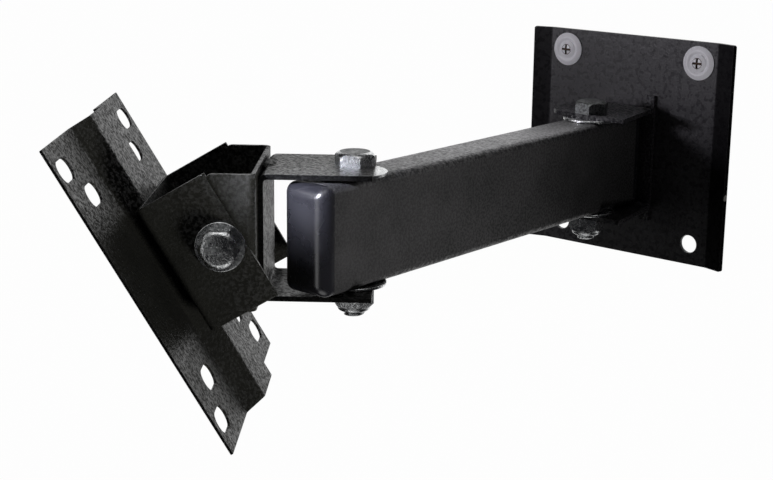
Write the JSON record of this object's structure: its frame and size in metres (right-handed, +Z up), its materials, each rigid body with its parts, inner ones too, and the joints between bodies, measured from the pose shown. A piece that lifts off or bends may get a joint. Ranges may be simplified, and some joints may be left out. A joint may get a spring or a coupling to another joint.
{
  "type": "tv wall mount",
  "caption": "Single-arm wall mount for a small flat screen: folded wall plate, box-section arm, turning yoke and tilting slotted screen plate.",
  "frame": {"origin": "centre of the wall plate's flat back face, on the wall", "axes": "+Z up, +X right along the wall, +Y into the wall; the arm reaches out along -Y"},
  "size_m": [0.167, 0.3245, 0.1194],
  "materials": {
    "black_steel": "black powder coat, fine satin wrinkle",
    "zinc_steel": "bright zinc plate",
    "cap_plastic": "gloss moulded",
    "nylon": "natural nylon",
    "bright_fixing": "nickel plate"
  },
  "bodies": {
    "wall_side": {"wall_plate": "black_steel", "wall_bracket": "black_steel", "cup_washer_left": "bright_fixing", "cup_washer_right": "bright_fixing", "wall_screw_left": "bright_fixing", "wall_screw_right": "bright_fixing", "wall_pivot_bolt": "zinc_steel", "wall_pivot_nut": "zinc_steel", "wall_pivot_nut_ring": "nylon", "wall_pivot_washer_upper": "zinc_steel", "wall_pivot_washer_lower": "zinc_steel"},
    "arm": {"arm_tube": "black_steel", "arm_cap_rear": "cap_plastic", "arm_cap_front": "cap_plastic", "arm_sleeve_rear": "zinc_steel", "arm_sleeve_front": "zinc_steel"},
    "yoke": {"yoke": "black_steel", "yoke_bracket": "black_steel", "swivel_bolt": "zinc_steel", "swivel_nut": "zinc_steel", "swivel_nut_ring": "nylon", "swivel_washer_upper": "zinc_steel", "swivel_washer_lower": "zinc_steel"},
    "screen_head": {"tilt_bracket": "black_steel", "screen_plate": "black_steel", "tilt_bolt": "zinc_steel", "tilt_nut": "zinc_steel", "tilt_nut_ring": "nylon", "tilt_washer_near": "zinc_steel", "tilt_washer_far": "zinc_steel"}
  },
  "joints": [
    {"name": "arm_swing", "type": "hinge", "parent": "wall_side", "child": "arm", "pos_m": [0, -0.0335, -0.0043], "axis": [0, 0, 1], "range_deg": [-90, 90]},
    {"name": "head_swivel", "type": "hinge", "parent": "arm", "child": "yoke", "pos_m": [0, -0.1899, -0.0043], "axis": [0, 0, 1], "range_deg": [-38.1, 141.9]},
    {"name": "head_tilt", "type": "hinge", "parent": "yoke", "child": "screen_head", "pos_m": [-0.03549, -0.21773, -0.0049], "axis": [0.617, -0.7869, 0], "range_deg": [-60.5, 2]}
  ]
}
